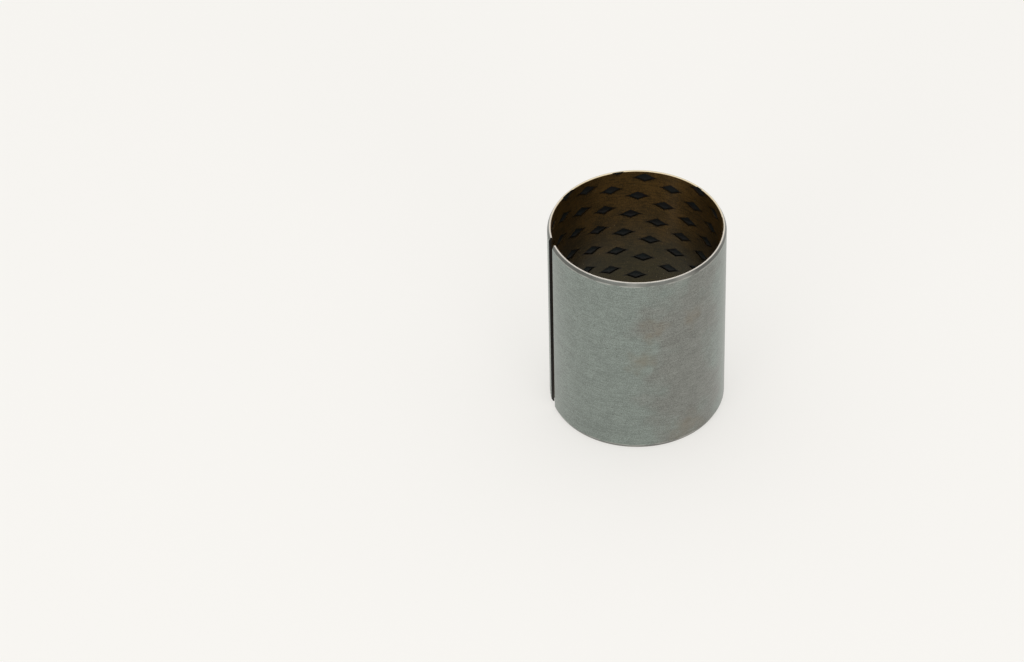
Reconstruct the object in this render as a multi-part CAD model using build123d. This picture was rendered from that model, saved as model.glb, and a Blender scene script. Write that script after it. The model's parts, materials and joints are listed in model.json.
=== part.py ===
"""Graphite plugged bushing: a wrapped plain bearing, rolled from a steel strip lined with bronze.

The strip's two ends stand a little apart at the butt seam until the bushing is pressed into its
housing. Diamond pockets are sunk in the bronze in a leaning grid that the strip's edges cut
across, and each pocket holds a thin graphite plug.

Frame: millimetres, +Z along the bore axis, origin on that axis in the lower end face. The seam is
centred on -X, and distances round the bore are measured from +X, anticlockwise seen from above.
"""

import os
from math import ceil, degrees, floor, pi, radians, sqrt

from build123d import *

# Nominal size, with the seam closed in its housing
NOMINAL_BORE = 46.0
WALL = 1.0
LENGTH = 60.0

# Opening of the seam in the free state, along the middle of the wall
SEAM_GAP = 3.4

# Both ends: a long outer lead-in, a flat land and a small inner deburr
LEAD_IN_LENGTH = 1.25
END_LAND = 0.25
DEBURR = 0.15

# Diamond pockets, with the long diagonal round the bore
POCKET_WIDTH = 5.9
POCKET_HEIGHT = 2.9
POCKET_DEPTH = 0.3
BRONZE_UNDER_POCKET = 0.05
PLUG_RECESS = 0.05
SMALLEST_CUT_POCKET = 0.33

# Grid of pockets on the unrolled bore, round from +X and down from the upper end
FIRST_AROUND = 3.6
FIRST_DOWN = 3.9
NEXT_DOWN_COLUMN_AROUND = 2.0
NEXT_DOWN_COLUMN_DOWN = 6.54
NEXT_COLUMN_AROUND = 9.49
NEXT_COLUMN_DOWN = 3.8

# The rolled wall in its free state: its middle keeps the length that it has when closed
MEAN_RADIUS = (pi * (NOMINAL_BORE + WALL) + SEAM_GAP) / (2 * pi)
BORE_RADIUS = MEAN_RADIUS - WALL / 2
OUTER_RADIUS = MEAN_RADIUS + WALL / 2
SEAM_ANGLE = degrees(SEAM_GAP / MEAN_RADIUS)
WRAP_ANGLE = 360 - SEAM_ANGLE
HALF_BORE_STRIP = BORE_RADIUS * radians(WRAP_ANGLE) / 2

# Layers, outwards from the bore
PLUG_RADIUS = BORE_RADIUS + PLUG_RECESS
FLOOR_RADIUS = BORE_RADIUS + POCKET_DEPTH
BOND_RADIUS = FLOOR_RADIUS + BRONZE_UNDER_POCKET


def wall_section():
    """Section through the whole wall, radius across and height up, with its end edges."""
    return Polygon(
        (BORE_RADIUS, DEBURR),
        (BORE_RADIUS + DEBURR, 0),
        (BORE_RADIUS + DEBURR + END_LAND, 0),
        (OUTER_RADIUS, LEAD_IN_LENGTH),
        (OUTER_RADIUS, LENGTH - LEAD_IN_LENGTH),
        (BORE_RADIUS + DEBURR + END_LAND, LENGTH),
        (BORE_RADIUS + DEBURR, LENGTH),
        (BORE_RADIUS, LENGTH - DEBURR),
        align=None,
    )


def rolled_layer(inner_radius, outer_radius):
    """The layer of the rolled wall between two radii, open at the seam."""
    band = Pos(inner_radius, 0) * Rectangle(outer_radius - inner_radius, LENGTH, align=Align.MIN)
    ring = revolve(Plane.XZ * (wall_section() & band), Axis.Z, WRAP_ANGLE)
    return Rot(0, 0, SEAM_ANGLE / 2 - 180) * ring


def pocket_chords(radius):
    """Line across a pocket seen along the bore: two chords whose three corners share a radius."""
    half_width = POCKET_WIDTH / 2
    tip = sqrt(radius**2 - half_width**2)
    return [(tip, -half_width), (radius, 0), (tip, half_width)]


def diamond_block(inner_line, outer_line):
    """Diamond seen from the axis, between two lines seen along it, centred on +X at height 0."""
    plan = Polygon(*inner_line, *reversed(outer_line), align=None)
    diamond = Polygon(
        (POCKET_WIDTH / 2, 0),
        (0, POCKET_HEIGHT / 2),
        (-POCKET_WIDTH / 2, 0),
        (0, -POCKET_HEIGHT / 2),
        align=None,
    )
    slab = extrude(plan, POCKET_HEIGHT / 2, both=True)
    return slab & extrude(Plane.YZ * diamond, OUTER_RADIUS)


def at_places(block, places):
    """Copies of a block at distances round the bore and heights."""
    return [
        Rot(0, 0, degrees(around / BORE_RADIUS)) * Pos(0, 0, height) * block
        for around, height in places
    ]


def share_on_strip(around, down):
    """1 for a pocket centred on the strip, falling to 0 where only a tip still touches it."""
    past_seam = max(abs(around) - HALF_BORE_STRIP, 0)
    past_end = max(-down, down - LENGTH, 0)
    return 1 - past_seam / (POCKET_WIDTH / 2) - past_end / (POCKET_HEIGHT / 2)


def column_name(column):
    """Name of a leaning column, counted both ways round from the one that leaves +X."""
    if column == 0:
        return "graphite_column_middle"
    side = "anticlockwise" if column > 0 else "clockwise"
    return f"graphite_column_{side}_{abs(column):02d}"


def pocket_columns():
    """Pocket centres (around, height) in a list for each leaning column on the strip, by name."""
    lean = NEXT_DOWN_COLUMN_AROUND / NEXT_DOWN_COLUMN_DOWN
    spacing = NEXT_COLUMN_AROUND - NEXT_COLUMN_DOWN * lean
    reach = ceil((HALF_BORE_STRIP + LENGTH * abs(lean)) / spacing) + 1
    rows = ceil(LENGTH / NEXT_DOWN_COLUMN_DOWN) + 2
    columns = {}
    for column in range(-reach, reach + 1):
        around = FIRST_AROUND + column * NEXT_COLUMN_AROUND
        down = FIRST_DOWN + column * NEXT_COLUMN_DOWN
        top_row = -floor(down / NEXT_DOWN_COLUMN_DOWN) - 1
        places = []
        for row in range(top_row, top_row + rows):
            row_around = around + row * NEXT_DOWN_COLUMN_AROUND
            row_down = down + row * NEXT_DOWN_COLUMN_DOWN
            if share_on_strip(row_around, row_down) >= SMALLEST_CUT_POCKET:
                places.append((row_around, LENGTH - row_down))
        if places:
            columns[column_name(column)] = places
    return columns


def lining_with_pockets(lining, columns):
    """The bronze layer with every pocket sunk in it, one column after another."""
    axis_line = [(0, -POCKET_WIDTH / 2), (0, POCKET_WIDTH / 2)]
    cutter = diamond_block(axis_line, pocket_chords(FLOOR_RADIUS))
    for places in columns:
        lining -= at_places(cutter, places)
    return lining


def graphite_column(lining, places):
    """Plugs seated on the pocket floors of one column, cut off where the strip is cut."""
    plug = diamond_block(pocket_chords(PLUG_RADIUS), pocket_chords(FLOOR_RADIUS))
    plugs = [solid for copy in at_places(plug, places) for solid in (copy & lining).solids()]
    return Compound(plugs)


def main():
    """Write one STEP file for each node."""
    os.makedirs("parts", exist_ok=True)
    columns = pocket_columns()
    lining = rolled_layer(BORE_RADIUS, BOND_RADIUS)
    nodes = {
        "steel_backing": rolled_layer(BOND_RADIUS, OUTER_RADIUS),
        "bronze_lining": lining_with_pockets(lining, columns.values()),
    }
    for name, places in columns.items():
        nodes[name] = graphite_column(lining, places)
    for name, shape in nodes.items():
        export_step(shape, f"parts/{name}.step")


if __name__ == "__main__":
    main()
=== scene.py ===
"""Graphite plugged bushing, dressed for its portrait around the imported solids.

The wall is a strip rolled into an open ring: a steel shell, a bronze lining with diamond pockets
in a leaning grid, and a graphite plug in each pocket. The lining and the plugs are made flat,
trimmed where the strip ends and then rolled. The shell is spun from the wall's section.

Flat parts lie in metres as x = distance round the bore from +X, y = height, z = depth outwards
from the bore. Rolled parts lie in the solids' own frame: +Z along the bore, seam centred on -X.
"""

import json
import logging
from collections import defaultdict
from collections.abc import Callable, Iterable, Iterator
from dataclasses import dataclass, field
from enum import Enum
from functools import reduce
from itertools import product
from math import ceil, cos, pi, radians, sin

import bmesh
import bpy
from bmesh.types import BMEdge, BMesh, BMFace, BMVert
from bpy.types import Material, Mesh, Node, NodeSocket, Object, World
from mathutils import Matrix, Vector


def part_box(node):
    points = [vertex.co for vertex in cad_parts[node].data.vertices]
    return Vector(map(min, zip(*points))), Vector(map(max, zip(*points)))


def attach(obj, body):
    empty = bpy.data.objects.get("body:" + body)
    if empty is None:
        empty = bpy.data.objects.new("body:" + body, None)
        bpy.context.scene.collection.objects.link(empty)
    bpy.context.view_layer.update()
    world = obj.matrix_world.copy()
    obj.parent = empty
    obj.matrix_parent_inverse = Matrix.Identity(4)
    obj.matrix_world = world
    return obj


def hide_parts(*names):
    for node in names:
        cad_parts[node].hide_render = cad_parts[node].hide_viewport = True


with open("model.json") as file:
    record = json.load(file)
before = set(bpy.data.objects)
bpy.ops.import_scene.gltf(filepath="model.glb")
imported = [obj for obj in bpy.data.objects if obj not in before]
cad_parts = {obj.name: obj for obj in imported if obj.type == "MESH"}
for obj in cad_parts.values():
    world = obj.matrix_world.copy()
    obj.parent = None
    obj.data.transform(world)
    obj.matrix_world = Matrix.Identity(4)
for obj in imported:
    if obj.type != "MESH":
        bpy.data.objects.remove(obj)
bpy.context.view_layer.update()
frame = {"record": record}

BODY = "root"
MM = 0.001
# Mean of a noise wire
NOISE_MEAN = 0.5
# Vertices this close to each other are merged
WELD = 0.002 * MM
# Edges shorter than this are dissolved
SLIVER = 0.001 * MM
# Vertices this close to a cutting plane lie on it
ON_PLANE = 1e-9

log = logging.getLogger("bushing")


class Slot(Enum):
    """Material slots of the record that the pieces take their finishes from."""

    STEEL = "steel"
    BRONZE = "bronze"
    GRAPHITE = "graphite"


# -------- shader expressions


@dataclass(frozen=True)
class Wire:
    """A number socket of a bench's node tree, on which arithmetic adds Math nodes."""

    bench: "Bench"
    socket: NodeSocket

    def __add__(self, other: "Wire | float") -> "Wire":
        """Sum of the two."""
        return self.bench.math("ADD", self, other)

    def __radd__(self, other: float) -> "Wire":
        """Sum of the two, reflected."""
        return self.bench.math("ADD", other, self)

    def __sub__(self, other: "Wire | float") -> "Wire":
        """Difference of the two."""
        return self.bench.math("SUBTRACT", self, other)

    def __rsub__(self, other: float) -> "Wire":
        """Difference of the two, reflected."""
        return self.bench.math("SUBTRACT", other, self)

    def __mul__(self, other: "Wire | float") -> "Wire":
        """Product of the two."""
        return self.bench.math("MULTIPLY", self, other)

    def __rmul__(self, other: float) -> "Wire":
        """Product of the two, reflected."""
        return self.bench.math("MULTIPLY", other, self)

    def __truediv__(self, other: "Wire | float") -> "Wire":
        """Quotient of the two."""
        return self.bench.math("DIVIDE", self, other)

    def __abs__(self) -> "Wire":
        """Size without the sign."""
        return self.bench.math("ABSOLUTE", self)

    def sway(self, amount: float) -> "Wire":
        """Noise as a sway about zero, by up to half the amount either way."""
        return (self - NOISE_MEAN) * amount


class Bench:
    """Where the nodes of one material or world are put together."""

    def __init__(self, block: Material | World) -> None:
        """Start with no nodes.

        Args:
            block: The new material or world.
        """
        self.block = block
        block.use_nodes = True
        self.tree = block.node_tree
        self.tree.nodes.clear()

    def node(self, kind: str, sockets: dict | None = None, **settings: object) -> Node:
        """Add a node.

        Args:
            kind: The node's type without "ShaderNode", such as "Math".
            sockets: Input sockets by name or number, each a value, a Wire or a socket to link.
            settings: Properties of the node, which are set before any socket.

        Returns:
            The new node.
        """
        node = self.tree.nodes.new(f"ShaderNode{kind}")
        for key, value in settings.items():
            setattr(node, key, value)
        for key, value in (sockets or {}).items():
            if isinstance(value, Wire):
                self.tree.links.new(value.socket, node.inputs[key])
            elif isinstance(value, NodeSocket):
                self.tree.links.new(value, node.inputs[key])
            else:
                node.inputs[key].default_value = value
        return node

    def wire(self, kind: str, output: str | int, sockets: dict, **settings: object) -> Wire:
        """Add a node and take one of its outputs as a wire."""
        return Wire(self, self.node(kind, sockets, **settings).outputs[output])

    def math(self, operation: str, *values: Wire | float) -> Wire:
        """Add a Math node on wires and numbers."""
        return self.wire("Math", 0, dict(enumerate(values)), operation=operation)

    def largest(self, wires: Iterable[Wire]) -> Wire:
        """The largest of several wires."""
        return reduce(lambda first, second: self.math("MAXIMUM", first, second), wires)

    def weigh(self, weights: tuple, *wires: Wire) -> Wire:
        """Weighted sum of wires."""
        return reduce(Wire.__add__, [wire * weight for wire, weight in zip(wires, weights)])

    def span(self, x: Wire, y: Wire) -> Wire:
        """Length of the vector with these two components."""
        return self.math("SQRT", x * x + y * y)

    def smooth(self, value: Wire, low: float, high: float) -> Wire:
        """Smooth step from 0 at low to 1 at high, which may be the lower number.

        Args:
            value: The wire that is measured.
            low: Where the step starts.
            high: Where the step ends.

        Returns:
            The step as a wire.
        """
        at_least, at_most = (1.0, 0.0) if high < low else (0.0, 1.0)
        sockets = {"Value": value, "From Min": min(low, high), "From Max": max(low, high)}
        sockets |= {"To Min": at_least, "To Max": at_most}
        return self.wire("MapRange", "Result", sockets, interpolation_type="SMOOTHSTEP")

    def mix(self, factor: Wire | float, first: object, second: object) -> NodeSocket:
        """Blend from one colour to another, either being a value or a socket."""
        # Inputs 6 and 7 of a mix node are its colours, and output 2 is the blend
        sockets = {0: factor, 6: first, 7: second}
        return self.node("Mix", sockets, data_type="RGBA", clamp_factor=True).outputs[2]

    def bump(self, height: Wire, depth: float) -> NodeSocket:
        """Normal of a surface that rises by a wire's share of a depth in metres."""
        sockets = {"Height": height, "Distance": depth, "Strength": 1.0}
        return self.node("Bump", sockets).outputs["Normal"]

    def finish(self, sockets: dict) -> Material:
        """Close the material with a principled shader.

        Args:
            sockets: The shader's sockets by name, as values or links.

        Returns:
            The finished material.
        """
        shader = self.node("BsdfPrincipled", sockets)
        self.node("OutputMaterial", {"Surface": shader.outputs[0]})
        return self.block


@dataclass(frozen=True)
class Pattern:
    """Noise on the wall, with features of about one size in metres."""

    size: float
    # Octaves of finer noise
    detail: float
    # Under 1, features are drawn out round the wall
    squeeze: float = 1.0


class Wall:
    """The rolled wall as its materials see it: where the shaded point is, unrolled."""

    # How far before the seam's faces the sheared colour starts, and where it is full
    SHEARED_EDGE = (0.08 * MM, 0.03 * MM)

    def __init__(self, bench: Bench, radius: float) -> None:
        """Unroll the shaded point.

        Args:
            bench: The bench of the material.
            radius: Radius at which distances round the wall are measured.
        """
        self.bench = bench
        place = bench.node("TexCoord").outputs["Object"]
        split = bench.node("SeparateXYZ", {0: place})
        x, y, self.height = (Wire(bench, split.outputs[axis]) for axis in "XYZ")
        self.around = bench.math("ARCTAN2", y, x) * radius
        self.across = bench.span(x, y)

    def noise(self, pattern: Pattern) -> Wire:
        """Noise on the wall.

        Args:
            pattern: The noise's pattern.

        Returns:
            The noise, around one half.
        """
        place = {0: self.around * pattern.squeeze, 1: self.height, 2: self.across}
        place = self.bench.node("CombineXYZ", place).outputs[0]
        sockets = {"Vector": place, "Scale": 1.0 / pattern.size, "Detail": pattern.detail}
        return self.bench.wire("TexNoise", "Fac", sockets)

    def shear(self, colour: object, reach: float, sheared: tuple) -> NodeSocket:
        """Darken the two sheared faces at the seam.

        Args:
            colour: Colour of the rest.
            reach: Distance round at which the sheared faces stand.
            sheared: Colour of the sheared faces.

        Returns:
            The colour all over.
        """
        start, full = self.SHEARED_EDGE
        at_seam = self.bench.smooth(abs(self.around), reach - start, reach - full)
        return self.bench.mix(at_seam, colour, sheared)


# -------- finishes
# A field whose name ends in edge is a pair: where a smooth step starts and where it is full.


@dataclass(frozen=True)
class SteelFinish:
    """Matte grey rolled steel: mottled, finely speckled, faintly scratched and rust tinged."""

    clean: tuple = (0.305, 0.350, 0.318, 1.0)
    dull: tuple = (0.165, 0.188, 0.170, 1.0)
    warm_clean: tuple = (0.270, 0.262, 0.238, 1.0)
    warm_dull: tuple = (0.140, 0.134, 0.120, 1.0)
    rust: tuple = (0.225, 0.178, 0.118, 1.0)
    pit: tuple = (0.09, 0.085, 0.078, 1.0)
    scratch: tuple = (0.40, 0.43, 0.40, 1.0)
    turned: tuple = (0.125, 0.125, 0.112, 1.0)
    sheared: tuple = (0.035, 0.033, 0.03, 1.0)
    # Bright metal of the faced rims, also laid on as the painted highlights on the lead-in and its
    # corner
    bright: tuple = (0.56, 0.545, 0.50, 1.0)
    mottle: Pattern = Pattern(4.0 * MM, 4.0)
    speckle: Pattern = Pattern(0.24 * MM, 2.0)
    drawn: Pattern = Pattern(0.4 * MM, 2.0, squeeze=0.12)
    cloud: Pattern = Pattern(12.0 * MM, 4.0)
    pits: Pattern = Pattern(0.5 * MM, 3.0)
    scratches: Pattern = Pattern(0.3 * MM, 3.0, squeeze=0.1)
    # Shares of mottle, speckle and drawn
    tone_mix: tuple = (0.14, 0.66, 0.2)
    relief_mix: tuple = (0.3, 0.5, 0.2)
    tone_edge: tuple = (0.38, 0.62)
    # The warm band down the wall, as distances round
    warm_near_edge: tuple = (-46 * MM, -35 * MM)
    warm_far_edge: tuple = (-14 * MM, -26 * MM)
    warm_fray: float = 40 * MM
    warmth: float = 0.65
    # Rust-tinged patches: distance round, height and reach in millimetres
    stains: tuple = ((-40.5, 43.0, 6.0), (-29.0, 44.5, 5.0), (-44.0, 32.0, 6.0), (-31.0, 4.0, 8.0))
    stain_edge: tuple = (1.95, 0.7)
    stain_fray: float = 2.0
    # Rust that a stain lays on everything, and what the speckle adds
    stain_base: float = 0.15
    stain_speckle: float = 0.7
    pit_edge: tuple = (0.60, 0.72)
    pit_place_edge: tuple = (0.35, 0.6)
    pitting: float = 0.85
    scratch_edge: tuple = (0.6, 0.74)
    scratching: float = 0.45
    # Where the lead-in has painted highlights, as distances round in millimetres
    painted_highlight: tuple = (-46.5, -31.5)
    painted_highlight_edge: tuple = (7.5 * MM, 2 * MM)
    painted_highlight_fray: float = 5 * MM
    painted_highlight_strength: float = 0.4
    turned_blend: float = 0.12 * MM
    turning: float = 0.85
    # Painted highlight along the corner where the lead-in starts
    painted_corner_highlight_edge: tuple = (0.25 * MM, 0.05 * MM)
    painted_corner_highlight_place_edge: tuple = (0.4, 0.6)
    painted_corner_highlight_strength: float = 0.5
    # How far before the end faces the bright rim starts, and where it is full
    rim_edge: tuple = (0.12 * MM, 0.02 * MM)
    roughness: float = 0.36
    # Added by the speckle and by the mottle
    roughening: tuple = (0.16, 0.12)
    film: float = 0.5
    film_roughness: float = 0.3
    relief: float = 0.014 * MM

    def material(self, strip: "RolledStrip") -> Material:
        """Make the material.

        Args:
            strip: The rolled wall that it covers.

        Returns:
            The steel material.
        """
        bench = Bench(bpy.data.materials.new("grey_rolled_steel"))
        wall = Wall(bench, strip.outer_radius)
        patterns = (self.mottle, self.speckle, self.drawn, self.cloud)
        mottle, speckle, drawn, cloud = (wall.noise(pattern) for pattern in patterns)
        tone = bench.smooth(bench.weigh(self.tone_mix, mottle, speckle, drawn), *self.tone_edge)
        colour = bench.mix(tone, self.dull, self.clean)
        frayed = wall.around + cloud.sway(self.warm_fray)
        warmed = bench.smooth(frayed, *self.warm_near_edge) * bench.smooth(frayed, *self.warm_far_edge)
        warm = bench.mix(tone, self.warm_dull, self.warm_clean)
        colour = bench.mix(warmed * self.warmth, colour, warm)
        stained = self._stained(wall, mottle) * (self.stain_base + speckle * self.stain_speckle)
        colour = bench.mix(stained, colour, self.rust)
        pitted = bench.smooth(wall.noise(self.pits), *self.pit_edge)
        pitted = pitted * bench.smooth(cloud, *self.pit_place_edge)
        colour = bench.mix(pitted * self.pitting, colour, self.pit)
        scratched = bench.smooth(wall.noise(self.scratches), *self.scratch_edge)
        colour = bench.mix(scratched * self.scratching, colour, self.scratch)
        relief = bench.weigh(self.relief_mix, mottle, speckle, drawn)
        return bench.finish(
            {
                "Base Color": self._ends(wall, strip, colour, mottle),
                "Metallic": 1.0,
                "Roughness": self.roughness + bench.weigh(self.roughening, speckle, mottle),
                "Coat Weight": self.film,
                "Coat Roughness": self.film_roughness,
                "Normal": bench.bump(relief, self.relief),
            }
        )

    def _stained(self, wall: Wall, ragged: Wire) -> Wire:
        """Where rust tinges the outside.

        Args:
            wall: The wall.
            ragged: Noise that frays the patches.

        Returns:
            0 for clean to 1 for stained.
        """
        bench, patches = wall.bench, []
        for place, up, reach in self.stains:
            aside = (wall.around - place * MM) / (reach * MM)
            above = (wall.height - up * MM) / (reach * MM)
            far = bench.span(aside, above) + ragged * self.stain_fray
            patches.append(bench.smooth(far, *self.stain_edge))
        return bench.largest(patches)

    def _ends(self, wall: Wall, strip: "RolledStrip", colour: object, ragged: Wire) -> NodeSocket:
        """Colour the turned lead-ins with their painted highlights, the painted highlight on their
        corner, the rims and the sheared seam faces.

        Args:
            wall: The wall.
            strip: The rolled strip.
            colour: Colour of the rolled outside.
            ragged: Noise that breaks up the painted highlights on the lead-in and on its corner.

        Returns:
            The colour all over the shell.
        """
        bench, end = wall.bench, strip.length / 2
        from_middle = abs(wall.height - end)
        corner = end - strip.lead_in
        fray = ragged * self.painted_highlight_fray
        # Painted highlights on the lead-in near the front of the ring
        off = [abs(wall.around - place * MM) + fray for place in self.painted_highlight]
        painted_highlight = bench.largest(bench.smooth(each, *self.painted_highlight_edge) for each in off)
        turned = bench.mix(painted_highlight * self.painted_highlight_strength, self.turned, self.bright)
        on_lead_in = bench.smooth(from_middle, corner, corner + self.turned_blend)
        colour = bench.mix(on_lead_in * self.turning, colour, turned)
        # Painted highlight on the corner where the lead-in starts, broken up by noise
        at_corner = bench.smooth(abs(from_middle - corner), *self.painted_corner_highlight_edge)
        painted_corner_highlight = at_corner * bench.smooth(ragged, *self.painted_corner_highlight_place_edge)
        colour = bench.mix(painted_corner_highlight * self.painted_corner_highlight_strength, colour, self.bright)
        start, full = self.rim_edge
        on_rim = bench.smooth(from_middle, end - start, end - full)
        colour = bench.mix(on_rim, colour, self.bright)
        return wall.shear(colour, strip.outer_radius * strip.half_wrap, self.sheared)


@dataclass(frozen=True)
class BronzeFinish:
    """Sintered bronze under a film of oil: dark in the bore with painted shade lower down, bright where
    its ends were faced, with a painted reflection that makes them paler at the front.
    """

    light: tuple = (0.270, 0.152, 0.040, 1.0)
    dark: tuple = (0.115, 0.071, 0.022, 1.0)
    painted_shade_light: tuple = (0.080, 0.064, 0.024, 1.0)
    painted_shade_dark: tuple = (0.042, 0.034, 0.014, 1.0)
    speck: tuple = (0.55, 0.42, 0.24, 1.0)
    smear: tuple = (0.012, 0.010, 0.008, 1.0)
    faced: tuple = (0.85, 0.73, 0.50, 1.0)
    # Faced ends at the front of the ring, painted paler as a painted reflection
    faced_painted_front: tuple = (0.76, 0.69, 0.61, 1.0)
    sheared: tuple = (0.06, 0.045, 0.03, 1.0)
    grain: Pattern = Pattern(0.3 * MM, 3.0)
    cloud: Pattern = Pattern(6.0 * MM, 4.0)
    rolled: Pattern = Pattern(0.5 * MM, 2.0, squeeze=0.15)
    specks: Pattern = Pattern(0.35 * MM, 1.0)
    # Shares of grain, cloud and rolled
    tone_mix: tuple = (0.5, 0.2, 0.3)
    tone_edge: tuple = (0.36, 0.64)
    # Heights between which the bore turns to its painted shade colours, darker lower down
    painted_shade_edge: tuple = (54 * MM, 26 * MM)
    painted_shade_fray: float = 16 * MM
    speck_edge: tuple = (0.74, 0.80)
    specked: float = 0.6
    # The graphite halo of a pocket, as reach from its centre, and the tail at each side tip
    halo_edge: tuple = (1.3, 1.0)
    halo_fray: float = 0.5
    halo: float = 0.55
    tail_length: float = 0.9 * MM
    tail_edge: tuple = (0.45 * MM, 0.1 * MM)
    tail: float = 0.75
    # Where the deburred edge starts to look faced in full, as a share of the deburr
    faced_full: float = 0.5
    # The back of the ring, where the faced ends are painted yellower than at the front: a painted
    # difference in reflection
    back: float = 28 * MM
    painted_back_edge: tuple = (46 * MM, 20 * MM)
    roughness: float = 0.36
    # Added by the grain and by the cloud
    roughening: tuple = (0.12, 0.08)
    film: float = 0.4
    film_roughness: float = 0.25
    # Shares of grain and rolled
    relief_mix: tuple = (0.7, 0.3)
    relief: float = 0.01 * MM

    def material(self, grid: "PocketGrid") -> Material:
        """Make the material.

        Args:
            grid: The pockets in the lining.

        Returns:
            The bronze material.
        """
        strip = grid.strip
        bench = Bench(bpy.data.materials.new("oiled_sintered_bronze"))
        wall = Wall(bench, strip.bore_radius)
        patterns = (self.grain, self.cloud, self.rolled, self.specks)
        grain, cloud, rolled, specks = (wall.noise(pattern) for pattern in patterns)
        tone = bench.smooth(bench.weigh(self.tone_mix, grain, cloud, rolled), *self.tone_edge)
        # Painted shade: the bore darker lower down
        painted_shade = bench.smooth(wall.height + cloud.sway(self.painted_shade_fray), *self.painted_shade_edge)
        light = bench.mix(painted_shade, self.light, self.painted_shade_light)
        dark = bench.mix(painted_shade, self.dark, self.painted_shade_dark)
        colour = bench.mix(tone, dark, light)
        specked = bench.smooth(specks, *self.speck_edge) * self.specked
        colour = bench.mix(specked, colour, self.speck)
        colour = bench.mix(self._smeared(wall, grid, grain), colour, self.smear)
        end = strip.length / 2
        from_middle = abs(wall.height - end)
        on_end = bench.smooth(from_middle, end - strip.deburr, end - strip.deburr * self.faced_full)
        # Painted reflection: the faced ends paler at the front of the ring and yellower at the back
        painted_at_back = bench.smooth(abs(wall.around - self.back), *self.painted_back_edge)
        faced = bench.mix(painted_at_back, self.faced_painted_front, self.faced)
        colour = bench.mix(on_end, colour, faced)
        return bench.finish(
            {
                "Base Color": wall.shear(colour, strip.half_width, self.sheared),
                "Metallic": 1.0,
                "Roughness": self.roughness + bench.weigh(self.roughening, grain, cloud),
                "Coat Weight": self.film,
                "Coat Roughness": self.film_roughness,
                "Normal": bench.bump(bench.weigh(self.relief_mix, grain, rolled), self.relief),
            }
        )

    def _smeared(self, wall: Wall, grid: "PocketGrid", ragged: Wire) -> Wire:
        """Where graphite is smeared on the bronze: a thin halo and a tail at each side tip.

        Args:
            wall: The wall.
            grid: The pockets.
            ragged: Noise that frays the halo.

        Returns:
            0 for clean to nearly 1 for black.
        """
        bench = wall.bench
        aside, above = grid.place_in_cell(wall)
        reach = grid.reach_in_cell(aside, above) + ragged.sway(self.halo_fray)
        tip = grid.width / 2
        past_tip = bench.smooth(abs(aside), tip + self.tail_length, tip)
        tail = past_tip * bench.smooth(abs(above), *self.tail_edge) * self.tail
        return bench.largest((bench.smooth(reach, *self.halo_edge) * self.halo, tail))


@dataclass(frozen=True)
class GraphiteFinish:
    """Near-black graphite with a soft, slightly coloured sheen, and a painted grey sheen on the plugs
    low in the bore.
    """

    body: tuple = (0.004, 0.0045, 0.004, 1.0)
    cool: tuple = (0.003, 0.006, 0.0065, 1.0)
    warm: tuple = (0.008, 0.004, 0.0065, 1.0)
    # Painted sheen on the plugs low in the bore
    painted_sheen: tuple = (0.026, 0.038, 0.038, 1.0)
    grain: Pattern = Pattern(0.3 * MM, 3.0)
    tint: Pattern = Pattern(3.0 * MM, 1.0)
    cool_edge: tuple = (0.5, 0.3)
    warm_edge: tuple = (0.55, 0.75)
    # The painted sheen on the upper part of a plug, as reach and height from its centre, and height in
    # the bore
    painted_sheen_edge: tuple = (0.85, 0.5)
    painted_sheen_above_edge: tuple = (-0.5 * MM, 0.3 * MM)
    painted_sheen_depth_edge: tuple = (46 * MM, 26 * MM)
    painted_sheen_fray: float = 0.3
    painted_sheen_strength: float = 0.8
    roughness: float = 0.4
    grain_roughness: float = 0.2
    specular: float = 0.3
    relief: float = 0.01 * MM

    def material(self, grid: "PocketGrid") -> Material:
        """Make the material.

        Args:
            grid: The pockets that it fills.

        Returns:
            The graphite material.
        """
        bench = Bench(bpy.data.materials.new("soft_black_graphite"))
        wall = Wall(bench, grid.strip.bore_radius)
        grain, tint = wall.noise(self.grain), wall.noise(self.tint)
        colour = bench.mix(bench.smooth(tint, *self.cool_edge), self.body, self.cool)
        colour = bench.mix(bench.smooth(tint, *self.warm_edge), colour, self.warm)
        # Painted sheen: the upper part of the plugs low in the bore painted grey
        aside, above = grid.place_in_cell(wall)
        reach = grid.reach_in_cell(aside, above) + grain.sway(self.painted_sheen_fray)
        painted_sheen = bench.smooth(reach, *self.painted_sheen_edge) * bench.smooth(above, *self.painted_sheen_above_edge)
        painted_sheen = painted_sheen * bench.smooth(wall.height, *self.painted_sheen_depth_edge) * self.painted_sheen_strength
        return bench.finish(
            {
                "Base Color": bench.mix(painted_sheen, colour, self.painted_sheen),
                "Roughness": self.roughness + grain * self.grain_roughness,
                "Specular IOR Level": self.specular,
                "Normal": bench.bump(grain, self.relief),
            }
        )


# -------- mesh helpers


def of_kind(items: Iterable, kind: type) -> list:
    """Those items that are of one kind, such as BMVert."""
    return [item for item in items if isinstance(item, kind)]


def cut(
    shape: BMesh,
    point: Vector,
    normal: Vector,
    clear: bool = False,
    faces: list | None = None,
) -> list:
    """Cut a mesh along a plane.

    Args:
        shape: The mesh.
        point: A point of the plane.
        normal: The plane's normal.
        clear: Whether what lies on the normal's side is taken away.
        faces: The faces that are cut, or None for the whole mesh.

    Returns:
        What the geometry that was cut has become.
    """
    geometry = shape.verts[:] + shape.edges[:] + shape.faces[:]
    if faces is not None:
        edges = dict.fromkeys(edge for face in faces for edge in face.edges)
        verts = dict.fromkeys(vert for face in faces for vert in face.verts)
        geometry = [*faces, *edges, *verts]
    result = bmesh.ops.bisect_plane(
        shape, geom=geometry, dist=ON_PLANE, plane_co=point, plane_no=normal, clear_outer=clear
    )
    return result["geom"]


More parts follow.
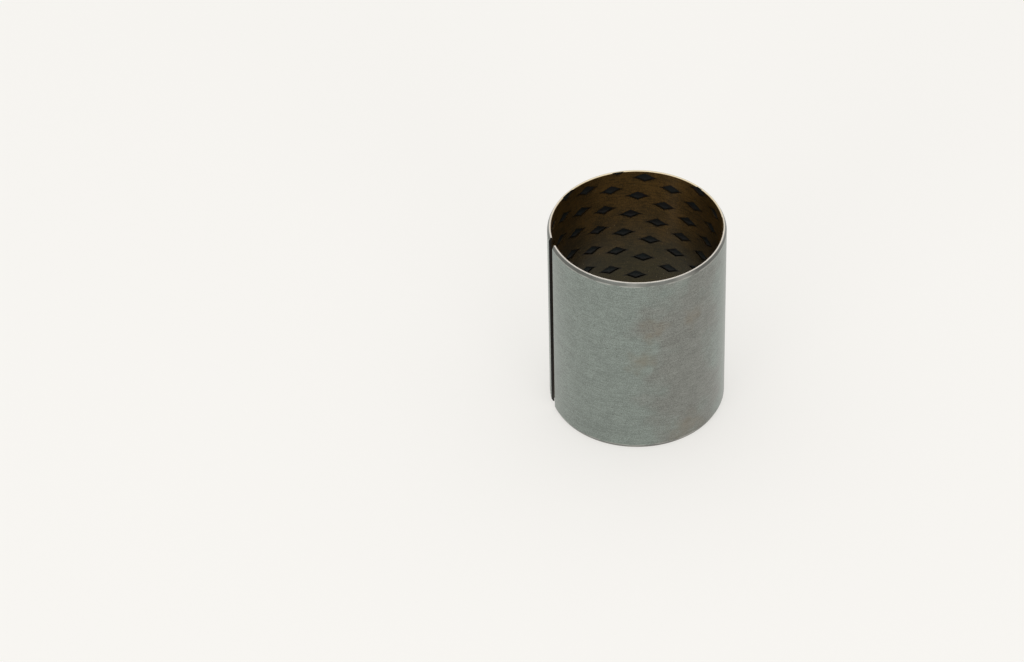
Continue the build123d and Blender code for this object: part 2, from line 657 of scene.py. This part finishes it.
def lay(shape: BMesh, mesh: Mesh, around: float, up: float) -> None:
    """Add a copy of a flat mesh.

    Args:
        shape: The mesh that the copy is added to.
        mesh: The flat mesh, centred on its pocket.
        around: Distance round of the copy's centre.
        up: Height of the copy's centre.
    """
    start = len(shape.verts)
    shape.from_mesh(mesh)
    shape.verts.ensure_lookup_table()
    bmesh.ops.translate(shape, verts=shape.verts[start:], vec=(around, up, 0))


def to_mesh(name: str, shape: BMesh) -> Mesh:
    """Turn a shape, which is freed, into a new mesh.

    Args:
        name: The mesh's name.
        shape: The shape.

    Returns:
        The mesh.
    """
    mesh = bpy.data.meshes.new(name)
    shape.to_mesh(mesh)
    shape.free()
    return mesh


def face_outwards(shape: BMesh) -> None:
    """Point the faces of each closed part of a mesh out of that part.

    Args:
        shape: The mesh, of one closed part or several.
    """
    bmesh.ops.recalc_face_normals(shape, faces=shape.faces)
    waiting = set(shape.faces)
    while waiting:
        part, next_faces = [], [waiting.pop()]
        while next_faces:
            face = next_faces.pop()
            part.append(face)
            near = {other for edge in face.edges for other in edge.link_faces} & waiting
            waiting -= near
            next_faces.extend(near)
        if sum(wedge_volume(face) for face in part) < 0:
            bmesh.ops.reverse_faces(shape, faces=part)


def wedge_volume(face: BMFace) -> float:
    """Six times the signed volume between a face and the origin."""
    first, *others = [vert.co for vert in face.verts]
    return sum(first.dot(second.cross(third)) for second, third in zip(others, others[1:]))


def make_piece(name: str, shape: BMesh, sharpest: float, material: Material) -> Object:
    """Turn a finished mesh into a piece that rides on the bushing's body.

    Args:
        name: The piece's name.
        shape: The closed mesh, in the solids' frame. It is freed.
        sharpest: Angle in radians up to which the shading runs smoothly over an edge.
        material: The piece's material.

    Returns:
        The piece's object.
    """
    for face in shape.faces:
        face.smooth = True
    for edge in shape.edges:
        edge.smooth = edge.calc_face_angle(0.0) < sharpest
    mesh = to_mesh(name, shape)
    mesh.materials.append(material)
    piece = bpy.data.objects.new(name, mesh)
    bpy.context.scene.collection.objects.link(piece)
    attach(piece, BODY)
    log.info("%s: %d faces", name, len(mesh.polygons))
    return piece


# -------- the bushing


@dataclass(frozen=True)
class RolledStrip:
    """The strip that the wall is rolled from, in its free state."""

    bore_radius: float
    outer_radius: float
    length: float
    seam_gap: float = 3.4 * MM
    lead_in: float = 1.05 * MM
    end_land: float = 0.35 * MM
    deburr: float = 0.15 * MM
    lining: float = 0.35 * MM

    @classmethod
    def from_frame(cls) -> "RolledStrip":
        """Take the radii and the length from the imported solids.

        Returns:
            The strip.
        """
        mounts = {mount["name"]: mount for mount in frame["record"]["mounts"]}
        bore = mounts["bore"]["dims"]["r_mm"] * MM
        outer = mounts["outside"]["dims"]["r_mm"] * MM
        return cls(bore_radius=bore, outer_radius=outer, length=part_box("steel_backing")[1].z)

    @property
    def half_wrap(self) -> float:
        """Angle from +X to either edge of the seam."""
        return pi - self.seam_gap / (self.bore_radius + self.outer_radius)

    @property
    def half_width(self) -> float:
        """Half of the bore's length round, from seam to seam."""
        return self.bore_radius * self.half_wrap

    def roll(self, shape: BMesh) -> None:
        """Roll flat parts round the bore and point their faces outwards.

        Args:
            shape: Mesh with x round, y up and z outwards from the bore.
        """
        for vert in shape.verts:
            around, height, depth = vert.co
            angle = around / self.bore_radius
            radius = self.bore_radius + depth
            vert.co = (radius * cos(angle), radius * sin(angle), height)
        face_outwards(shape)


@dataclass(frozen=True)
class PocketGrid:
    """The leaning grid of diamond pockets on the unrolled bore."""

    strip: RolledStrip
    width: float = 5.9 * MM
    height: float = 2.9 * MM
    depth: float = 0.3 * MM
    # Least share of a pocket on the strip for which it is still sunk
    smallest_cut: float = 0.33
    # The first pocket's centre, from +X and from the upper end
    first_around: float = 3.6 * MM
    first_down: float = 3.9 * MM
    down_column: tuple = (2.0 * MM, -6.54 * MM)
    next_column: tuple = (9.49 * MM, -3.8 * MM)
    # Columns and rows searched either way, which is more than the strip has
    farthest: int = 40

    def has_pocket(self, around: float, up: float) -> bool:
        """Whether a cell's pocket lies on the strip far enough to be sunk.

        Args:
            around: Distance round of the cell's centre.
            up: Height of the cell's centre.

        Returns:
            True for a pocket that is whole or cut, but not cut away too far.
        """
        past_seam = max(abs(around) - self.strip.half_width, 0.0)
        past_end = max(up - self.strip.length, -up, 0.0)
        share = 1 - past_seam / (self.width / 2) - past_end / (self.height / 2)
        return share >= self.smallest_cut

    def place(self, column: int, row: int) -> tuple[float, float]:
        """Centre of a cell.

        Args:
            column: The cell's column, counted anticlockwise from above.
            row: The cell's row, counted down its column.

        Returns:
            Distance round and height.
        """
        (across_x, across_y), (down_x, down_y) = self.next_column, self.down_column
        around = self.first_around + column * across_x + row * down_x
        up = self.strip.length - self.first_down + column * across_y + row * down_y
        return around, up

    def cells(self) -> Iterator[tuple[int, float, float]]:
        """Find every cell of the grid that may touch the strip.

        Returns:
            Column, distance round and height of each.
        """
        spill_round, spill_up = self.next_column[0], 2 * abs(self.down_column[1])
        searched = range(-self.farthest, self.farthest + 1)
        for column, row in product(searched, searched):
            around, up = self.place(column, row)
            on_strip = abs(around) < self.strip.half_width + spill_round
            if on_strip and -spill_up < up < self.strip.length + spill_up:
                yield column, around, up

    def place_in_cell(self, wall: Wall) -> tuple[Wire, Wire]:
        """Where the shaded point is, seen from the middle of its own cell.

        Args:
            wall: The wall, measured at the bore's radius.

        Returns:
            Wires for distance round and height from the cell's centre.
        """
        (across_x, across_y), (down_x, down_y) = self.next_column, self.down_column
        x = wall.around - self.first_around
        y = wall.height - (self.strip.length - self.first_down)
        area = across_x * down_y - across_y * down_x
        column = (x * down_y - y * down_x) / area
        row = (y * across_x - x * across_y) / area
        # The fraction from the nearest whole column and row, from -0.5 to 0.5
        column, row = (wall.bench.math("FRACT", each + 0.5) - 0.5 for each in (column, row))
        return column * across_x + row * down_x, column * across_y + row * down_y

    def reach_in_cell(self, aside: Wire | float, above: Wire | float) -> Wire | float:
        """0 in the middle of a pocket, 1 on its outline and more beyond it."""
        return abs(aside) / (self.width / 2) + abs(above) / (self.height / 2)

    def trim(self, shape: BMesh) -> None:
        """Cut flat parts off at the seam, and at the deburred edge of either end.

        Args:
            shape: The flat mesh.
        """
        half, margin = self.strip.half_width, self.strip.deburr
        cut(shape, Vector((half, 0, 0)), Vector((1, 0, 0)), clear=True)
        cut(shape, Vector((-half, 0, 0)), Vector((-1, 0, 0)), clear=True)
        cut(shape, Vector((0, self.strip.length - margin, 0)), Vector((0, 1, 0)), clear=True)
        cut(shape, Vector((0, margin, 0)), Vector((0, -1, 0)), clear=True)


@dataclass
class SteelBacking:
    """The steel shell, with a long lead-in at each end of its outside."""

    strip: RolledStrip
    finish: SteelFinish = field(default_factory=SteelFinish)
    steps: int = 352
    lead_in_rounding: float = 0.12 * MM
    seam_rounding: float = 0.03 * MM
    rounding_segments: int = 3
    # Edges that turn by less than this are left by the rounding
    least_turn: float = radians(20)
    # How near an edge has to be to the place that it is looked for at
    near: float = 0.01 * MM
    sharpest: float = radians(22)

    def build(self) -> BMesh:
        """Spin the wall's section round the bore axis.

        Returns:
            The closed shell.
        """
        strip = self.strip
        bond = strip.bore_radius + strip.lining
        land = strip.bore_radius + strip.deburr + strip.end_land
        lower = [(bond, 0.0), (land, 0.0), (strip.outer_radius, strip.lead_in)]
        upper = [(radius, strip.length - height) for radius, height in reversed(lower)]
        shape = bmesh.new()
        verts = [shape.verts.new((radius, 0.0, height)) for radius, height in lower + upper]
        section = shape.faces.new(verts)
        bmesh.ops.rotate(shape, verts=verts, matrix=Matrix.Rotation(-strip.half_wrap, 3, "Z"))
        turn = 2 * strip.half_wrap
        bmesh.ops.spin(shape, geom=[section], axis=(0, 0, 1), angle=turn, steps=self.steps)
        face_outwards(shape)
        self._round(shape, self._at_lead_in, self.lead_in_rounding)
        self._round(shape, self._at_seam, self.seam_rounding)
        return shape

    def _round(self, shape: BMesh, wanted: Callable[[BMEdge], bool], rounding: float) -> None:
        """Round some of the shell's sharp edges.

        Args:
            shape: The shell.
            wanted: Says of an edge whether it is one of them.
            rounding: Width of the rounding.
        """
        sharp = [edge for edge in shape.edges if edge.calc_face_angle(0.0) > self.least_turn]
        bmesh.ops.bevel(
            shape,
            geom=[edge for edge in sharp if wanted(edge)],
            offset=rounding,
            segments=self.rounding_segments,
            profile=0.5,
            affect="EDGES",
            clamp_overlap=True,
            material=-1,
        )

    def _at_lead_in(self, edge: BMEdge) -> bool:
        """Whether the middle of an edge is at the height where a lead-in starts."""
        middle = (edge.verts[0].co.z + edge.verts[1].co.z) / 2
        return abs(min(middle, self.strip.length - middle) - self.strip.lead_in) < self.near

    def _at_seam(self, edge: BMEdge) -> bool:
        """Whether an edge is one of the two long edges of the outside, at the seam."""
        reach = min(vert.co.xy.length for vert in edge.verts)
        return reach > self.strip.outer_radius - self.near and edge.calc_length() > self.strip.length / 2

    def dress(self) -> Object:
        """Build the piece and give it its finish.

        Returns:
            The piece.
        """
        material = self.finish.material(self.strip)
        piece = make_piece("steel_shell", self.build(), self.sharpest, material)
        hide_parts("steel_backing")
        return piece


@dataclass
class BronzeLining:
    """The bronze lining, with a pocket sunk in it at each place of the grid."""

    grid: PocketGrid
    finish: BronzeFinish = field(default_factory=BronzeFinish)
    cuts_round: int = 14
    cuts_down: int = 7
    back_step: float = 1.2 * MM
    sharpest: float = radians(22)

    def _tile(self, with_pocket: bool) -> Mesh:
        """Make one cell of the grid, flat and centred on its pocket.

        Args:
            with_pocket: Whether the pocket is sunk in it.

        Returns:
            The tile, whose outline fits the next tile's.
        """
        grid = self.grid
        across, down = Vector((*grid.next_column, 0)), Vector((*grid.down_column, 0))
        corners = [(a * across + b * down) / 2 for a, b in ((-1, -1), (1, -1), (1, 1), (-1, 1))]
        tips = [(-grid.width / 2, 0, 0), (0, grid.height / 2, 0)]
        tips += [(grid.width / 2, 0, 0), (0, -grid.height / 2, 0)]
        tile = bmesh.new()
        outline, diamond = ([tile.verts.new(place) for place in ring] for ring in (corners, tips))
        edges = []
        for ring in (diamond, outline):
            edges += [tile.edges.new(pair) for pair in zip(ring, ring[1:] + ring[:1])]
        bmesh.ops.bridge_loops(tile, edges=edges)
        tile.faces.new(diamond)
        for along, other, count in ((across, down, self.cuts_round), (down, across, self.cuts_down)):
            normal = Vector((-other.y, other.x, 0))
            for step in range(1, count):
                cut(tile, along * (step / count - 0.5), normal)
        if with_pocket:
            self._sink(tile)
        return to_mesh("tile", tile)

    def _sink(self, tile: BMesh) -> None:
        """Push the part of a tile inside its diamond down to the pocket's depth.

        Args:
            tile: The flat tile.
        """
        inside = []
        for face in tile.faces:
            middle = face.calc_center_median()
            if self.grid.reach_in_cell(middle.x, middle.y) < 1:
                inside.append(face)
        sunk = bmesh.ops.extrude_face_region(tile, geom=inside)["geom"]
        bmesh.ops.delete(tile, geom=inside, context="FACES")
        verts = of_kind(sunk, BMVert)
        bmesh.ops.translate(tile, verts=verts, vec=(0, 0, self.grid.depth))

    def build(self) -> BMesh:
        """Lay tiles over the strip, trim them, close the back and roll the lining.

        Returns:
            The closed lining.
        """
        tiles = {with_pocket: self._tile(with_pocket) for with_pocket in (False, True)}
        shape = bmesh.new()
        for _, around, up in self.grid.cells():
            lay(shape, tiles[self.grid.has_pocket(around, up)], around, up)
        for mesh in tiles.values():
            bpy.data.meshes.remove(mesh)
        bmesh.ops.remove_doubles(shape, verts=shape.verts, dist=WELD)
        self.grid.trim(shape)
        self._close_back(shape)
        self.grid.strip.roll(shape)
        return shape

    def _close_back(self, shape: BMesh) -> None:
        """Take the flat front's outline over the deburr to the bond with the steel, and close it.

        Args:
            shape: The flat front with its pockets.
        """
        strip = self.grid.strip
        margin = strip.deburr + WELD
        for at_bond in (False, True):
            border = [edge for edge in shape.edges if edge.is_boundary]
            walls = bmesh.ops.extrude_edge_only(shape, edges=border)["geom"]
            for vert in of_kind(walls, BMVert):
                at_end = vert.co.y < margin or vert.co.y > strip.length - margin
                if at_end:
                    vert.co.y = 0 if vert.co.y < margin else strip.length
                if at_bond:
                    vert.co.z = strip.lining
                else:
                    vert.co.z = strip.deburr if at_end else max(vert.co.z, strip.deburr)
        bmesh.ops.remove_doubles(shape, verts=shape.verts, dist=WELD)
        border = [edge for edge in shape.edges if edge.is_boundary]
        rest = bmesh.ops.contextual_create(shape, geom=border)["faces"]
        steps = ceil(2 * strip.half_width / self.back_step)
        for step in range(1, steps):
            at = -strip.half_width + 2 * strip.half_width * step / steps
            parts = cut(shape, Vector((at, 0, 0)), Vector((1, 0, 0)), faces=rest)
            faces = of_kind(parts, BMFace)
            rest = [face for face in faces if face.calc_center_median().x > at]
        bmesh.ops.dissolve_degenerate(shape, edges=shape.edges, dist=SLIVER)

    def dress(self) -> Object:
        """Build the piece and give it its finish.

        Returns:
            The piece.
        """
        material = self.finish.material(self.grid)
        piece = make_piece("pocketed_lining", self.build(), self.sharpest, material)
        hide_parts("bronze_lining")
        return piece


@dataclass
class GraphitePlugs:
    """The plugs, a piece for each leaning column of pockets."""

    grid: PocketGrid
    finish: GraphiteFinish = field(default_factory=GraphiteFinish)
    clearance: float = 0.03 * MM
    crown_recess: float = 0.07 * MM
    edge_recess: float = 0.26 * MM
    # Steps in which the crown rises, and the flat left in its middle as a share of a step
    crown_steps: int = 3
    crown_flat: float = 0.5
    cuts_round: int = 6
    sharpest: float = radians(30)

    def _plug(self) -> Mesh:
        """Make one flat plug with a low crown, centred on its pocket.

        Returns:
            Its mesh, with the crown towards the bore.
        """
        grid = self.grid
        plug = bmesh.new()
        bmesh.ops.create_circle(plug, cap_ends=True, segments=4, radius=1.0)
        bmesh.ops.scale(plug, verts=plug.verts, vec=(grid.width / 2, grid.height / 2, 1))
        bmesh.ops.translate(plug, verts=plug.verts, vec=(0, 0, grid.depth))
        top = bmesh.ops.extrude_face_region(plug, geom=plug.faces[:])["geom"]
        raised = of_kind(top, BMVert)
        bmesh.ops.translate(plug, verts=raised, vec=(0, 0, self.edge_recess - grid.depth))
        face = of_kind(top, BMFace)
        rise = (self.edge_recess - self.crown_recess) / self.crown_steps
        for step in range(self.crown_steps):
            left = 1 - 1 / (self.crown_steps - step + self.crown_flat)
            inner = bmesh.ops.extrude_face_region(plug, geom=face)["geom"]
            bmesh.ops.delete(plug, geom=face, context="FACES")
            face = of_kind(inner, BMFace)
            verts = of_kind(inner, BMVert)
            bmesh.ops.scale(plug, verts=verts, vec=(left, left, 1))
            bmesh.ops.translate(plug, verts=verts, vec=(0, 0, -rise))
        shrunk = 1 - self.clearance / grid.height
        bmesh.ops.scale(plug, verts=plug.verts, vec=(shrunk, shrunk, 1))
        for step in range(1, self.cuts_round):
            at = (step / self.cuts_round - 0.5) * grid.width
            cut(plug, Vector((at, 0, 0)), Vector((1, 0, 0)))
        return to_mesh("plug", plug)

    def build(self) -> dict[int, BMesh]:
        """Lay a plug in each pocket, trim those at the strip's ends, and roll them.

        Returns:
            The closed plugs of each column.
        """
        plug = self._plug()
        columns = defaultdict(bmesh.new)
        for column, around, up in self.grid.cells():
            if self.grid.has_pocket(around, up):
                lay(columns[column], plug, around, up)
        bpy.data.meshes.remove(plug)
        for shape in columns.values():
            self.grid.trim(shape)
            open_edges = [edge for edge in shape.edges if edge.is_boundary]
            bmesh.ops.holes_fill(shape, edges=open_edges, sides=0)
            self.grid.strip.roll(shape)
        return columns

    @staticmethod
    def node_name(column: int) -> str:
        """Name of the CAD node with a column's plugs, 0 being the middle column."""
        side = "anticlockwise" if column > 0 else "clockwise"
        return f"graphite_column_{side}_{abs(column):02d}" if column else "graphite_column_middle"

    def dress(self) -> list[Object]:
        """Build the pieces and give them their finish.

        Returns:
            The pieces.
        """
        material = self.finish.material(self.grid)
        pieces = []
        for column, shape in self.build().items():
            node = self.node_name(column)
            name = node.replace("graphite_column", "graphite_plugs")
            piece = make_piece(name, shape, self.sharpest, material)
            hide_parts(node)
            pieces.append(piece)
        return pieces


# -------- the studio


@dataclass(frozen=True)
class FloorFinish:
    """Pale matt paper, which the camera and shiny surfaces see nearly evenly lit."""

    colour: tuple = (0.922, 0.905, 0.871, 1.0)
    evenness: float = 0.6
    # Kinds of ray that see the floor evenly lit
    rays: tuple = ("Camera", "Glossy", "Transmission")

    def material(self) -> Material:
        """Make the material.

        Returns:
            The floor's material, which keeps a part of the bushing's shadow.
        """
        bench = Bench(bpy.data.materials.new("pale_floor"))
        sockets = {"Base Color": self.colour, "Roughness": 1.0, "Specular IOR Level": 0.0}
        lit = bench.node("BsdfPrincipled", sockets)
        even = bench.node("Emission", {"Color": self.colour, "Strength": 1.0})
        path = bench.node("LightPath").outputs
        seen = bench.largest(Wire(bench, path[f"Is {kind} Ray"]) for kind in self.rays)
        shares = {0: seen * self.evenness, 1: lit.outputs[0], 2: even.outputs[0]}
        mix = bench.node("MixShader", shares)
        bench.node("OutputMaterial", {"Surface": mix.outputs[0]})
        return bench.block


@dataclass(frozen=True)
class SoftBox:
    """A soft lamp, placed by where it stands as seen from the bushing."""

    name: str
    azimuth: float
    elevation: float
    distance: float
    width: float
    height: float
    watts: float

    def build(self, aim: Vector) -> None:
        """Make the lamp.

        Args:
            aim: The point that it faces.
        """
        light = bpy.data.lights.new(self.name, "AREA")
        light.shape = "RECTANGLE"
        light.size, light.size_y = self.width, self.height
        light.energy = self.watts
        lamp = bpy.data.objects.new(self.name, light)
        stand_off(lamp, aim, direction(self.azimuth, self.elevation), self.distance)


@dataclass
class Stage:
    """A plain pale floor in a soft studio: bright above and behind, dimmer in front."""

    floor_finish: FloorFinish = field(default_factory=FloorFinish)
    floor_size: float = 6.0
    # Strength of the light in front, from above and from the backdrop
    dim: float = 0.40
    overhead: float = 1.09
    backdrop: float = 0.9
    backdrop_azimuth: float = 73.7
    # Where either light starts and where it is full, as parts of a unit vector
    overhead_edge: tuple = (0.2, 0.8)
    backdrop_edge: tuple = (0.0, 0.6)
    white: tuple = (1.0, 1.0, 1.0, 1.0)
    boxes: tuple = (
        SoftBox("left_box", -139.7, 17.0, 1.3, 0.55, 0.45, 2.5),
        SoftBox("right_box", -77.7, 17.0, 1.3, 0.55, 0.45, 2.5),
    )

    def build(self, aim: Vector) -> None:
        """Make the floor, the lamps and the world.

        Args:
            aim: The point that the lamps face.
        """
        self._floor()
        for box in self.boxes:
            box.build(aim)
        self._world()

    def _floor(self) -> None:
        """Lay the floor."""
        shape = bmesh.new()
        bmesh.ops.create_grid(shape, x_segments=1, y_segments=1, size=self.floor_size)
        mesh = to_mesh("floor", shape)
        mesh.materials.append(self.floor_finish.material())
        floor_piece = bpy.data.objects.new("floor", mesh)
        bpy.context.scene.collection.objects.link(floor_piece)

    def _world(self) -> None:
        """Light all round, by how high and how far towards the backdrop it comes from."""
        bench = Bench(bpy.data.worlds.new("studio"))
        bpy.context.scene.world = bench.block
        way = bench.node("TexCoord").outputs["Generated"]
        high = bench.wire("SeparateXYZ", "Z", {0: way})
        sockets = {0: way, 1: tuple(direction(self.backdrop_azimuth, 0.0))}
        back = bench.wire("VectorMath", "Value", sockets, operation="DOT_PRODUCT")
        above = bench.smooth(high, *self.overhead_edge) * (self.overhead - self.dim)
        beyond = bench.smooth(back, *self.backdrop_edge) * (self.backdrop - self.dim)
        strength = bench.largest((above, beyond)) + self.dim
        sockets = {"Color": self.white, "Strength": strength}
        light = bench.node("Background", sockets)
        bench.node("OutputWorld", {"Surface": light.outputs[0]})


@dataclass
class PortraitCamera:
    """The camera, which looks at the middle of the bushing from above."""

    strip: RolledStrip
    azimuth: float = -106.3
    elevation: float = 41.08
    distance: float = 1.205
    lens: float = 152.7
    sensor_width: float = 36.0
    shift: tuple = (-0.122, -0.0218)
    sight: float = 20.0

    def build(self) -> None:
        """Make the camera and give it to the scene."""
        camera = bpy.data.cameras.new("portrait_camera")
        camera.lens = self.lens
        camera.sensor_width = self.sensor_width
        camera.shift_x, camera.shift_y = self.shift
        camera.clip_end = self.sight
        rig = bpy.data.objects.new("portrait_camera", camera)
        aim = Vector((0, 0, self.strip.length / 2))
        stand_off(rig, aim, direction(self.azimuth, self.elevation), self.distance)
        bpy.context.scene.camera = rig


def direction(azimuth: float, elevation: float) -> Vector:
    """Unit vector at an azimuth from +X and an elevation, in degrees."""
    turn, rise = radians(azimuth), radians(elevation)
    return Vector((cos(turn) * cos(rise), sin(turn) * cos(rise), sin(rise)))


def stand_off(thing: Object, aim: Vector, outwards: Vector, distance: float) -> None:
    """Stand a lamp or camera away from a point, facing it, and link it to the scene.

    Args:
        thing: The lamp or camera.
        aim: The point that it faces.
        outwards: Unit vector from the point to where it stands.
        distance: How far away it stands.
    """
    thing.location = aim + distance * outwards
    thing.rotation_euler = outwards.to_track_quat("Z", "Y").to_euler()
    bpy.context.scene.collection.objects.link(thing)


def main() -> None:
    """Build the bushing's pieces, the stage and the camera."""
    logging.basicConfig(level=logging.INFO, format="%(name)s: %(message)s")
    bpy.context.scene.view_settings.view_transform = "Standard"
    strip = RolledStrip.from_frame()
    grid = PocketGrid(strip)
    SteelBacking(strip).dress()
    BronzeLining(grid).dress()
    GraphitePlugs(grid).dress()
    Stage().build(Vector((0, 0, strip.length / 2)))
    PortraitCamera(strip).build()


if __name__ == "__main__":
    main()
